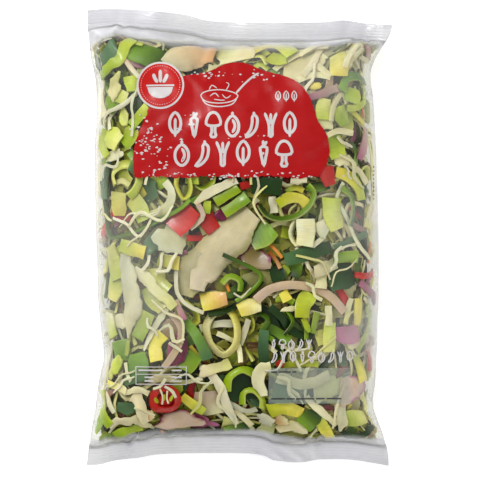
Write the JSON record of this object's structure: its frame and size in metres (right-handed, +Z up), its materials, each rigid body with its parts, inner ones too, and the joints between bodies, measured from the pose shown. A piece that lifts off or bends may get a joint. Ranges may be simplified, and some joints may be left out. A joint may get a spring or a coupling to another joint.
{
  "type": "bag of stir-fry vegetables",
  "caption": "Clear printed pillow bag with a crimped seal at each end, filled with cut stir-fry vegetables and lying flat on its back.",
  "frame": {"origin": "on the table under the middle of the bag's box, on the flat of its underside", "axes": "+Y towards the bag's top seal, +X to its right as the print is read from above, +Z up out of the printed face"},
  "size_m": [0.2, 0.3, 0.0428],
  "materials": {
    "film": "clear, thin, slightly hazy packing film with soft wrinkles",
    "print_red": "opaque red ink printed on the film",
    "print_white": "opaque white ink printed on the film",
    "leek": "moist cut leek, dark green to yellow-green",
    "cabbage": "moist cut white cabbage, cream to pale green",
    "onion": "moist cut red onion, pale pink with purple skin",
    "pepper": "shiny cut red pepper",
    "mushroom": "matt pale beige oyster mushroom with gills",
    "carrot": "cut carrot, orange"
  },
  "bodies": {
    "root": {"bag": "film"}
  },
  "joints": []
}
